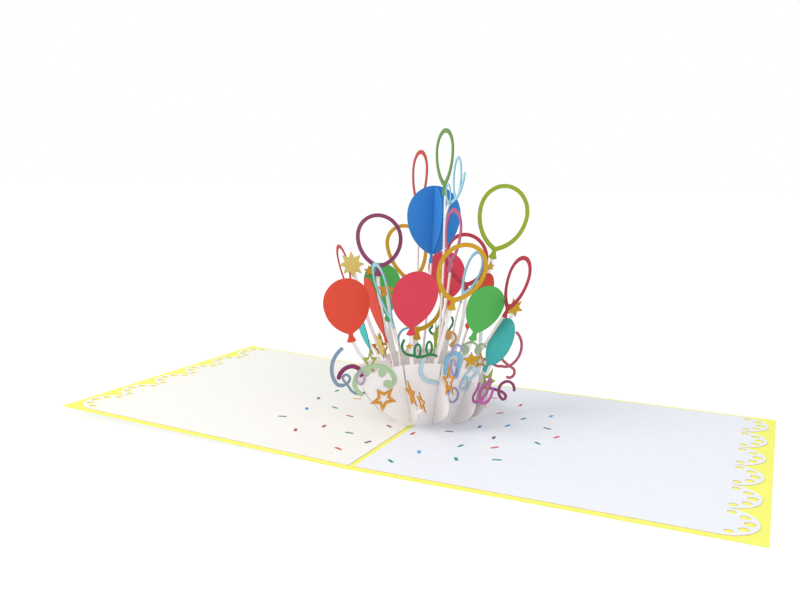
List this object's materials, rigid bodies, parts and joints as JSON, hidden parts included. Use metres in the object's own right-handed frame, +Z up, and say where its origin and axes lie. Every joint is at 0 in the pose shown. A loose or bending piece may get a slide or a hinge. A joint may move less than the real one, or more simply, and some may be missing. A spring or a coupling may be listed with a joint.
{
  "type": "pop-up greeting card",
  "caption": "Square greeting card lying open, with a pop-up bouquet of paper balloons, stars and streamers on white slotted slices that cross over its fold.",
  "frame": {"origin": "middle of the fold, on the table under the card", "axes": "+X from the fold over the flat right panel, +Y along the fold away from the viewer, +Z up"},
  "size_m": [0.2999, 0.15, 0.1336],
  "materials": {
    "card_yellow": "matte fibrous coloured card",
    "card_white": "matte white card",
    "paper_orange_red": "matte coloured paper, cut edges a little browned",
    "paper_crimson": "matte coloured paper, cut edges a little browned",
    "paper_green": "matte coloured paper, cut edges a little browned",
    "paper_teal": "matte coloured paper, cut edges a little browned",
    "paper_blue": "matte coloured paper, cut edges a little browned",
    "paper_purple": "matte coloured paper, cut edges a little browned",
    "paper_gold": "matte coloured paper, cut edges a little browned",
    "paper_yellow_green": "matte coloured paper, cut edges a little browned",
    "paper_ring_crimson": "matte coloured paper, cut edges a little browned",
    "paper_pink": "matte coloured paper, cut edges a little browned",
    "paper_light_blue": "matte coloured paper, cut edges a little browned",
    "paper_leaf_green": "matte coloured paper, cut edges a little browned",
    "paper_red": "matte coloured paper, cut edges a little browned",
    "paper_tan": "matte coloured paper, cut edges a little browned",
    "paper_orange": "matte coloured paper, cut edges a little browned",
    "paper_mint": "matte coloured paper, cut edges a little browned",
    "paper_sage": "matte coloured paper, cut edges a little browned",
    "paper_slate": "matte coloured paper, cut edges a little browned",
    "paper_burgundy": "matte coloured paper, cut edges a little browned",
    "paper_dark_green": "matte coloured paper, cut edges a little browned",
    "paper_magenta": "matte coloured paper, cut edges a little browned",
    "paper_red_pink": "matte coloured paper, cut edges a little browned",
    "paper_brown": "matte coloured paper, cut edges a little browned",
    "paper_olive": "matte coloured paper, cut edges a little browned",
    "paper_sky_blue": "matte coloured paper, cut edges a little browned",
    "paper_pale_blue": "matte coloured paper, cut edges a little browned"
  },
  "bodies": {
    "root": {"balloon_blue_face": "paper_blue", "balloon_blue_side": "paper_blue", "balloon_crimson_back": "paper_crimson", "balloon_crimson_front": "paper_crimson", "balloon_green_back": "paper_green", "balloon_green_right": "paper_green", "balloon_orange_red_back": "paper_orange_red", "balloon_orange_red_left": "paper_orange_red", "balloon_orange_red_side": "paper_orange_red", "balloon_teal_back": "paper_teal", "balloon_teal_right": "paper_teal", "card_cover": "card_yellow", "card_liner_left": "card_white", "card_liner_right": "card_white", "ring_crimson_middle": "paper_ring_crimson", "ring_crimson_right": "paper_ring_crimson", "ring_gold_front": "paper_gold", "ring_gold_left": "paper_gold", "ring_gold_low": "paper_gold", "ring_green_top": "paper_leaf_green", "ring_light_blue_back": "paper_light_blue", "ring_light_blue_left": "paper_light_blue", "ring_pink": "paper_pink", "ring_purple": "paper_purple", "ring_red_far_left": "paper_red", "ring_red_top": "paper_red", "ring_yellow_green": "paper_yellow_green", "slice_p_front": "card_white", "slice_p_last": "card_white", "slice_p_middle": "card_white", "slice_p_rear": "card_white", "slice_q_last": "card_white", "slice_q_left": "card_white", "slice_q_middle": "card_white", "slice_q_right": "card_white", "star_gold_cluster": "paper_gold", "star_gold_right": "paper_gold", "star_olive_left": "paper_olive", "star_olive_right": "paper_olive", "star_orange_back": "paper_orange", "star_orange_fore": "paper_orange", "star_orange_low": "paper_orange", "star_orange_middle": "paper_orange", "star_orange_right": "paper_orange", "star_orange_side": "paper_orange", "star_tan": "paper_tan", "star_tan_side": "paper_tan", "streamer_blue_arch": "paper_sky_blue", "streamer_brown": "paper_brown", "streamer_burgundy": "paper_burgundy", "streamer_dark_green": "paper_dark_green", "streamer_light_blue_arc": "paper_pale_blue", "streamer_light_blue_curl": "paper_pale_blue", "streamer_light_blue_top": "paper_light_blue", "streamer_magenta": "paper_magenta", "streamer_mint": "paper_mint", "streamer_purple": "paper_purple", "streamer_red_pink": "paper_red_pink", "streamer_sage": "paper_sage", "streamer_slate": "paper_slate"}
  },
  "joints": []
}
